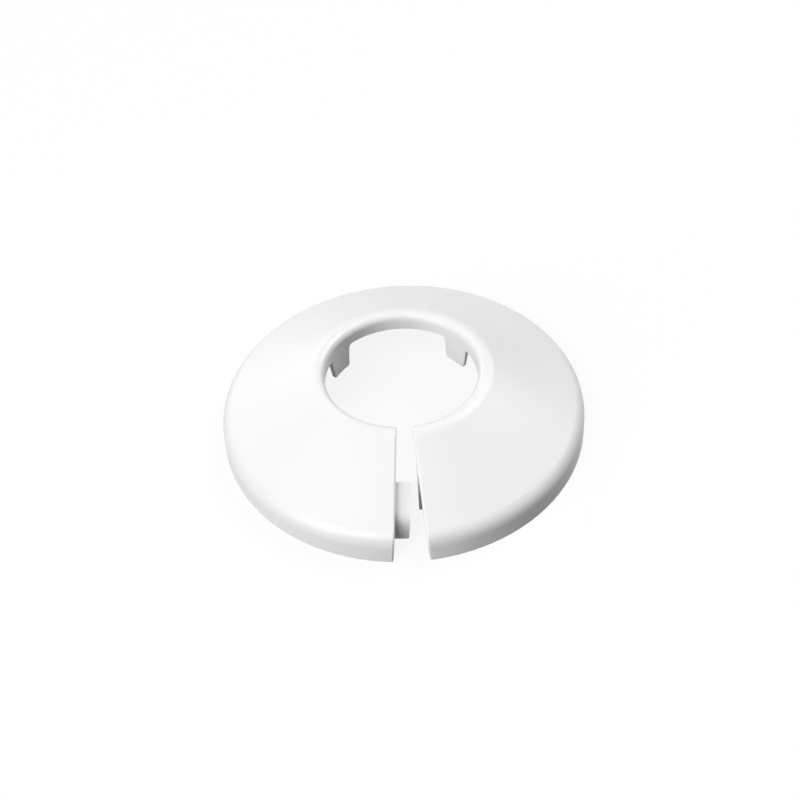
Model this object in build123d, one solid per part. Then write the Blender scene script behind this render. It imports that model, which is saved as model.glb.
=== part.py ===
from build123d import *
import os
from math import asin, atan2, cos, degrees, hypot, radians, sin, tan

# A split pipe collar, moulded in one piece. Millimetres, +Z up, origin at the foot's centre.
# The slit faces -Y. The section is a shallow hollow dome: a straight rim wall, a rounded shoulder, a cone,
# a broad crest and a lip that rolls into a short bore skirt. Grip fingers hang from the skirt. Under the
# cone a tongue bridges the slit from the left, and a stop rib stands beside it on the right.

# Dome
OUTER_DIAMETER = 55.0
BORE_DIAMETER = 23.0
HEIGHT = 11.6
RIM_HEIGHT = 2.7
SHOULDER_RADIUS = 2.4
CREST_RADIUS = 2.9
LIP_RADIUS = 1.05
WALL = 1.3
SKIRT_DROP = 1.5
INSIDE_CORNER_RADIUS = 0.4

# Slit: its gap at the foot of the rim, and how its sides turn in plan and lean
SLIT_MOUTH = 5.2
SLIT_SIDE_ANGLE = 2.2
SLIT_DRAFT = 4.5
SLIT_EDGE_RADIUS = 0.3

# Grip fingers: places round the bore, counted from +X
FINGER_ANGLES = (42, 143, 217, 318)
FINGER_LENGTH = 3.9
FINGER_ROOT_WIDTH = 4.7
FINGER_TIP_WIDTH = 3.7
FINGER_ROOT_THICKNESS = 0.8
FINGER_TIP_THICKNESS = 0.6
FINGER_LEAN = 0.2
FINGER_CORNER_RADIUS = 0.5
GRIP_EDGE_RADIUS = 0.2

# Tongue on the left of the slit
TONGUE_RIM_CLEARANCE = 2.2
TONGUE_CONE_CLEARANCE = 0.15
TONGUE_WIDTH = 5.3
TONGUE_DROP = 2.6
TONGUE_THICKNESS = 1.3
TONGUE_BEND_RADIUS = 3.0
TONGUE_REACH = 2.2
TONGUE_ROOT_ANGLE = 20.0
TONGUE_CORNER_RADIUS = 0.3

# Stop rib on the right of the slit
RIB_FACE = 1.5
RIB_THICKNESS = 1.4
RIB_FOOT = 0.3
RIB_TONGUE_GAP = 0.5

# How far a cutting or joining shape runs past the surface that it meets
OVERRUN = 3.0
JOIN = WALL / 2

outer_radius = OUTER_DIAMETER / 2
bore_radius = BORE_DIAMETER / 2
rim_radius = outer_radius - WALL
skirt_radius = bore_radius + WALL

# The slit lies along -Y: its direction, as an angle from +X
front = -90

# The flank is the straight line that touches the shoulder and the crest. The lip goes on from the crest's top
shoulder_centre = Vector(outer_radius - SHOULDER_RADIUS, RIM_HEIGHT)
lip_centre = Vector(bore_radius + LIP_RADIUS, HEIGHT - LIP_RADIUS)
crest_centre = Vector(lip_centre.X, HEIGHT - CREST_RADIUS)
between = crest_centre - shoulder_centre
slope = atan2(between.Y, -between.X) - asin((SHOULDER_RADIUS - CREST_RADIUS) / between.length)
flank_normal = Vector(sin(slope), cos(slope))


def flank_height(radius, depth):
    """Height of the flank at a radius, at a depth measured square to the outer skin."""
    point = shoulder_centre + flank_normal * (SHOULDER_RADIUS - depth)
    return point.Y + (point.X - radius) * tan(slope)


skirt_top = flank_height(skirt_radius, WALL)
skirt_foot = skirt_top - SKIRT_DROP
finger_bend = skirt_foot - FINGER_CORNER_RADIUS
finger_tip = skirt_foot - FINGER_LENGTH
tongue_outer = rim_radius - TONGUE_RIM_CLEARANCE
tongue_inner = tongue_outer - TONGUE_WIDTH
tongue_top = WALL + TONGUE_CONE_CLEARANCE


def sector(section, start, stop):
    """A section turned about the axis from one angle to another."""
    return Rot(0, 0, start) * revolve(section, Axis.Z, revolution_arc=stop - start)


def closed_face(*edges):
    return Plane.XZ * make_face(Curve() + list(edges))


def dome():
    """The whole ring, before it is slit."""
    crown = 90 - degrees(slope)
    shoulder = CenterArc(shoulder_centre, SHOULDER_RADIUS, 0, crown)
    crest = CenterArc(crest_centre, CREST_RADIUS, crown, 90 - crown)
    lip = CenterArc(lip_centre, LIP_RADIUS, 90, 90)
    flank = Line(shoulder @ 1, crest @ 0)
    skirt = Polyline(lip @ 1, (bore_radius, skirt_foot), (skirt_radius, skirt_foot))
    inside = FilletPolyline(
        skirt @ 1,
        (skirt_radius, skirt_top),
        (rim_radius, flank_height(rim_radius, WALL)),
        (rim_radius, 0),
        radius=INSIDE_CORNER_RADIUS,
    )
    rim = Polyline(inside @ 1, (outer_radius, 0), shoulder @ 0)
    return revolve(closed_face(shoulder, flank, crest, lip, skirt, inside, rim), Axis.Z)


def slit():
    """The space of the slit: it narrows towards the bore, and its sides lean together towards the top."""
    base = -OVERRUN
    grown = SLIT_MOUTH / 2 - base * tan(radians(SLIT_DRAFT))
    taper_in_plan = tan(radians(SLIT_SIDE_ANGLE))
    near = outer_radius + OVERRUN
    far = bore_radius / 2
    near_half = grown + (near - outer_radius) * taper_in_plan
    far_half = grown + (far - outer_radius) * taper_in_plan
    corners = [(-near_half, -near), (near_half, -near), (far_half, -far), (-far_half, -far)]
    plan = Plane.XY.offset(base) * make_face(Polyline(*corners, close=True))
    return extrude(plan, HEIGHT + 2 * OVERRUN, taper=SLIT_DRAFT)


def finger(angle):
    """A grip finger: flush with the skirt at its root, narrower, thinner and bent inwards at its tip."""
    root = skirt_foot + JOIN
    tip_radius = bore_radius - FINGER_LEAN
    back_radius = bore_radius + FINGER_ROOT_THICKNESS
    straight = Line((bore_radius, root), (bore_radius, finger_bend))
    bend = TangentArc(straight @ 1, (tip_radius, finger_tip), tangent=straight % 1)
    back = Polyline(
        bend @ 1,
        (tip_radius + FINGER_TIP_THICKNESS, finger_tip),
        (back_radius, skirt_foot),
        (back_radius, root),
        straight @ 0,
    )
    half_root = FINGER_ROOT_WIDTH / 2
    half_tip = FINGER_TIP_WIDTH / 2
    half_flare = half_root + 2 * FINGER_CORNER_RADIUS
    outline = make_face(
        Polyline(
            (-half_flare, root),
            (-half_flare, skirt_foot),
            (-half_root, skirt_foot),
            (-half_tip, finger_tip),
            (half_tip, finger_tip),
            (half_root, skirt_foot),
            (half_flare, skirt_foot),
            (half_flare, root),
            close=True,
        )
    )
    corners = [v for v in outline.vertices() if abs(v.X) < half_flare - FINGER_CORNER_RADIUS]
    blade = extrude(Plane.YZ * fillet(corners, FINGER_CORNER_RADIUS), outer_radius)
    half_turn = degrees(2 * half_flare / bore_radius)
    return Rot(0, 0, angle) * (sector(closed_face(straight, bend, back), -half_turn, half_turn) & blade)


def grip_edges(ring):
    """The inner lower edge of the skirt with the outline of each finger."""
    edges = []
    for edge in ring.edges():
        middle = edge @ 0.5
        turn = degrees(atan2(middle.Y, middle.X)) % 360
        across = any(abs(turn - angle) < 1 for angle in FINGER_ANGLES)
        seam = across and middle.Z > (finger_tip + finger_bend) / 2
        low = middle.Z < skirt_foot + GRIP_EDGE_RADIUS
        if low and not seam and hypot(middle.X, middle.Y) < bore_radius + GRIP_EDGE_RADIUS:
            edges.append(edge)
    return edges


def tongue_section(top_depth):
    """The tongue's section: a plate that follows the cone and bends down inside the rim."""
    under_depth = tongue_top + TONGUE_THICKNESS
    leg_radius = tongue_outer - TONGUE_THICKNESS
    corner = flank_height(leg_radius, under_depth)
    foot = corner - TONGUE_DROP
    top = FilletPolyline(
        (tongue_inner, flank_height(tongue_inner, top_depth)),
        (tongue_outer, flank_height(tongue_outer, top_depth)),
        (tongue_outer, foot),
        radius=TONGUE_BEND_RADIUS,
    )
    underside = FilletPolyline(
        (leg_radius, foot),
        (leg_radius, corner),
        (tongue_inner, flank_height(tongue_inner, under_depth)),
        radius=TONGUE_BEND_RADIUS - TONGUE_THICKNESS,
    )
    return closed_face(top, Line(top @ 1, underside @ 0), underside, Line(underside @ 1, top @ 0))


def tongue():
    """The plate that bridges the slit, with the thicker root that joins it to the left end's underside."""
    start = front - TONGUE_ROOT_ANGLE
    root = sector(tongue_section(JOIN), start, front) - slit()
    past_end = front + degrees(TONGUE_REACH / tongue_inner)
    plate = sector(tongue_section(tongue_top), start, past_end) - Pos(TONGUE_REACH, 0, 0) * slit()
    end = plate.faces().sort_by(Axis.X)[-1]
    corners = [end.edges().sort_by(Axis.Y)[-1], end.edges().sort_by(Axis.Z)[0]]
    return root + fillet(corners, TONGUE_CORNER_RADIUS)


def stop_rib():
    """The wall under the right end: the tongue slides past its outer edge."""
    inner = bore_radius + JOIN
    outer = tongue_inner - RIB_TONGUE_GAP
    section = closed_face(
        Polyline(
            (inner, RIB_FOOT),
            (outer, RIB_FOOT),
            (outer, flank_height(outer, JOIN)),
            (inner, flank_height(inner, JOIN)),
            close=True,
        )
    )
    slab = Pos(RIB_FACE, 0, 0) * Box(
        RIB_THICKNESS, outer_radius, HEIGHT, align=(Align.MIN, Align.MAX, Align.MIN)
    )
    return sector(section, front, 0) & slab


def collar():
    ring = dome()
    for angle in FINGER_ANGLES:
        ring += finger(angle)
    ring = fillet(grip_edges(ring), GRIP_EDGE_RADIUS) - slit()
    slit_faces = [f for f in ring.faces() if f.is_planar and abs(f.normal_at().X) > cos(radians(45))]
    # The highest edge of a slit face is at the crest of the lip, and its rounding runs on down the whole skin
    crest_edges = [f.edges().sort_by(Axis.Z)[-1] for f in slit_faces]
    return fillet(crest_edges, SLIT_EDGE_RADIUS) + tongue() + stop_rib()


os.makedirs("parts", exist_ok=True)
export_step(collar(), "parts/split_collar.step")
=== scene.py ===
from math import cos, radians, sin, tau

import bpy
import numpy as np
from mathutils import Matrix, Vector

# A white split pipe collar on a pale floor, seen from above its slit.
# Metres, +Z up, the foot plane at zero.
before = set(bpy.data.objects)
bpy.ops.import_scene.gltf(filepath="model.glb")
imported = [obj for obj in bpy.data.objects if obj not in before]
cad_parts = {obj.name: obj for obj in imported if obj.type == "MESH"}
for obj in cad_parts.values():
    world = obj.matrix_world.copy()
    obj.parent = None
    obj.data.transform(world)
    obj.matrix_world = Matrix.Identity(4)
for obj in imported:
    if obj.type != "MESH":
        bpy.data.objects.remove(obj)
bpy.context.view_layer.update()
MM = 0.001

# Camera: how far it stands from the foot's centre, its height angle, its tilt and its lens,
# and the pixel where the photo has the foot's centre
CAMERA_DISTANCE = 245 * MM
CAMERA_ELEVATION = radians(46.04)
CAMERA_ROLL = radians(-3.2)
CAMERA_LENS = 71.63
CAMERA_SENSOR = 36.0
CAMERA_CLIP = 10 * MM
IMAGE_SIZE = 800
FOOT_CENTRE_AT = (404.0, 422.3)

# Softboxes: direction round the collar from +X and height angle, in degrees, and power in watts
SOFTBOX_DISTANCE = 0.9
SOFTBOX_SIDE = 0.5
SOFTBOXES = {
    "key": (236, 46, 4.65),
    "low_key": (215, 22, 3.5),
    "back": (40, 48, 5.3),
    "left_fill": (120, 20, 1.3),
}

# Floor: its shade is dark so that it throws little light back onto the collar's walls,
# and its glow makes it white to look at
FLOOR_RADIUS = 4.0
FLOOR_SIDES = 96
FLOOR_DROP = 0.02 * MM
FLOOR_SHADE = "#5c5c5c"
FLOOR_GLOW = 0.89

# Plastic: how broad the marks of the melt's flow are. The tool's eroded grain, 0.05 mm in truth,
# is drawn 0.3 mm across so that it shows
FLOW_SIZE = 14 * MM
GRAIN_SIZE = 0.3 * MM
GRAIN_DEPTH = 0.02 * MM


def linear(hex_colour):
    """An sRGB hex colour as linear red, green, blue and alpha."""
    channels = np.array([int(hex_colour[i : i + 2], 16) for i in (1, 3, 5)]) / 255
    low = channels / 12.92
    high = ((channels + 0.055) / 1.055) ** 2.4
    return (*np.where(channels <= 0.04045, low, high), 1.0)


def add_node(tree, kind, inputs=None, **settings):
    """Adds a node. settings are its properties; inputs gives sockets a value or another node's output."""
    node = tree.nodes.new(kind)
    for name, value in settings.items():
        setattr(node, name, value)
    for socket, value in (inputs or {}).items():
        if isinstance(value, bpy.types.NodeSocket):
            tree.links.new(value, node.inputs[socket])
        else:
            node.inputs[socket].default_value = value
    return node


def new_material(name):
    material = bpy.data.materials.new(name)
    material.use_nodes = True
    material.node_tree.nodes.clear()
    return material, material.node_tree


def moulded_abs():
    """Satin white ABS from a finely eroded tool. A little light passes through its edges."""
    material, tree = new_material("white_moulded_abs")
    place = add_node(tree, "ShaderNodeTexCoord").outputs["Object"]
    # The melt's flow leaves broad, faint changes of gloss and tint
    flow = add_node(tree, "ShaderNodeTexNoise", {"Vector": place, "Scale": 1 / FLOW_SIZE, "Detail": 3.0})
    tint = add_node(
        tree,
        "ShaderNodeMix",
        {"Factor": flow.outputs["Fac"], "A": linear("#f1f0f0"), "B": linear("#f4f4f4")},
        data_type="RGBA",
    )
    gloss = add_node(
        tree,
        "ShaderNodeMapRange",
        {"Value": flow.outputs["Fac"], "From Min": 0.3, "From Max": 0.7, "To Min": 0.36, "To Max": 0.46},
    )
    grain = add_node(tree, "ShaderNodeTexNoise", {"Vector": place, "Scale": 1 / GRAIN_SIZE, "Detail": 2.0})
    bump = add_node(
        tree, "ShaderNodeBump", {"Height": grain.outputs["Fac"], "Strength": 0.12, "Distance": GRAIN_DEPTH}
    )
    plastic = add_node(
        tree,
        "ShaderNodeBsdfPrincipled",
        {
            "Base Color": tint.outputs["Result"],
            "Roughness": gloss.outputs["Result"],
            "Normal": bump.outputs["Normal"],
            "IOR": 1.53,
            "Subsurface Weight": 0.25,
            "Subsurface Radius": (1.0, 0.92, 0.86),
            "Subsurface Scale": 0.4 * MM,
        },
    )
    add_node(tree, "ShaderNodeOutputMaterial", {"Surface": plastic.outputs["BSDF"]})
    return material


def seen_rays(tree):
    """1 for rays that show a thing, to the camera, in a reflection or through glass, 0 for rays that light."""
    rays = add_node(tree, "ShaderNodeLightPath").outputs
    seen = rays["Is Camera Ray"]
    for kind in ("Is Glossy Ray", "Is Transmission Ray"):
        seen = add_node(tree, "ShaderNodeMath", {0: seen, 1: rays[kind]}, operation="MAXIMUM").outputs["Value"]
    return seen


def pale_ground():
    """A matt ground that takes the collar's shadow and shows white to the camera and in reflections."""
    material, tree = new_material("pale_floor")
    level = add_node(tree, "ShaderNodeMath", {0: seen_rays(tree), 1: FLOOR_GLOW}, operation="MULTIPLY")
    shade = add_node(tree, "ShaderNodeBsdfDiffuse", {"Color": linear(FLOOR_SHADE)})
    white = add_node(tree, "ShaderNodeEmission", {"Strength": level.outputs["Value"]})
    both = add_node(tree, "ShaderNodeAddShader", {0: shade.outputs["BSDF"], 1: white.outputs["Emission"]})
    add_node(tree, "ShaderNodeOutputMaterial", {"Surface": both.outputs["Shader"]})
    return material


def floor_disc():
    """A flat disc of one face, a hair under the foot plane."""
    turn = np.arange(FLOOR_SIDES) * tau / FLOOR_SIDES
    height = np.full_like(turn, -FLOOR_DROP)
    points = np.stack([np.cos(turn) * FLOOR_RADIUS, np.sin(turn) * FLOOR_RADIUS, height], axis=1)
    mesh = bpy.data.meshes.new("floor")
    mesh.from_pydata(points.tolist(), [], [list(range(FLOOR_SIDES))])
    mesh.materials.append(pale_ground())
    floor = bpy.data.objects.new("floor", mesh)
    bpy.context.scene.collection.objects.link(floor)


def softbox(name, azimuth, elevation, power):
    """A square lamp that faces the foot's centre."""
    lamp = bpy.data.lights.new(name, "AREA")
    lamp.shape = "SQUARE"
    lamp.size = SOFTBOX_SIDE
    lamp.energy = power
    light = bpy.data.objects.new(name, lamp)
    turn, rise = radians(azimuth), radians(elevation)
    light.location = Vector((cos(rise) * cos(turn), cos(rise) * sin(turn), sin(rise))) * SOFTBOX_DISTANCE
    light.rotation_euler = light.location.to_track_quat("Z", "Y").to_euler()
    bpy.context.scene.collection.objects.link(light)


def white_world():
    """White where the camera or a reflection sees it. The softboxes alone light the collar."""
    world = bpy.data.worlds.new("studio")
    bpy.context.scene.world = world
    world.use_nodes = True
    tree = world.node_tree
    tree.nodes.clear()
    sky = add_node(tree, "ShaderNodeBackground", {"Strength": seen_rays(tree)})
    add_node(tree, "ShaderNodeOutputWorld", {"Surface": sky.outputs["Background"]})


def camera():
    """Looks down over the slit, tilted as the photo is, with the foot's centre at its pixel in the photo."""
    back = Vector((0, -cos(CAMERA_ELEVATION), sin(CAMERA_ELEVATION)))
    level_right = Vector((1, 0, 0))
    level_up = back.cross(level_right)
    right = level_right * cos(CAMERA_ROLL) + level_up * sin(CAMERA_ROLL)
    up = back.cross(right)
    # The aim moves off the foot's centre by as much as the photo's frame does
    pixel = CAMERA_DISTANCE * CAMERA_SENSOR / (CAMERA_LENS * IMAGE_SIZE)
    offset = right * (IMAGE_SIZE / 2 - FOOT_CENTRE_AT[0]) + up * (FOOT_CENTRE_AT[1] - IMAGE_SIZE / 2)
    place = back * CAMERA_DISTANCE
    back = (place - offset * pixel).normalized()
    right = up.cross(back).normalized()
    up = back.cross(right)
    lens = bpy.data.cameras.new("camera")
    lens.lens = CAMERA_LENS
    lens.sensor_width = CAMERA_SENSOR
    lens.clip_start = CAMERA_CLIP
    eye = bpy.data.objects.new("camera", lens)
    eye.matrix_world = Matrix.Translation(place) @ Matrix((right, up, back)).transposed().to_4x4()
    bpy.context.scene.collection.objects.link(eye)
    bpy.context.scene.camera = eye


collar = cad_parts["split_collar"]
collar.data.materials.clear()
collar.data.materials.append(moulded_abs())

floor_disc()
for name, setup in SOFTBOXES.items():
    softbox(name, *setup)
white_world()
camera()
bpy.context.scene.view_settings.view_transform = "Standard"
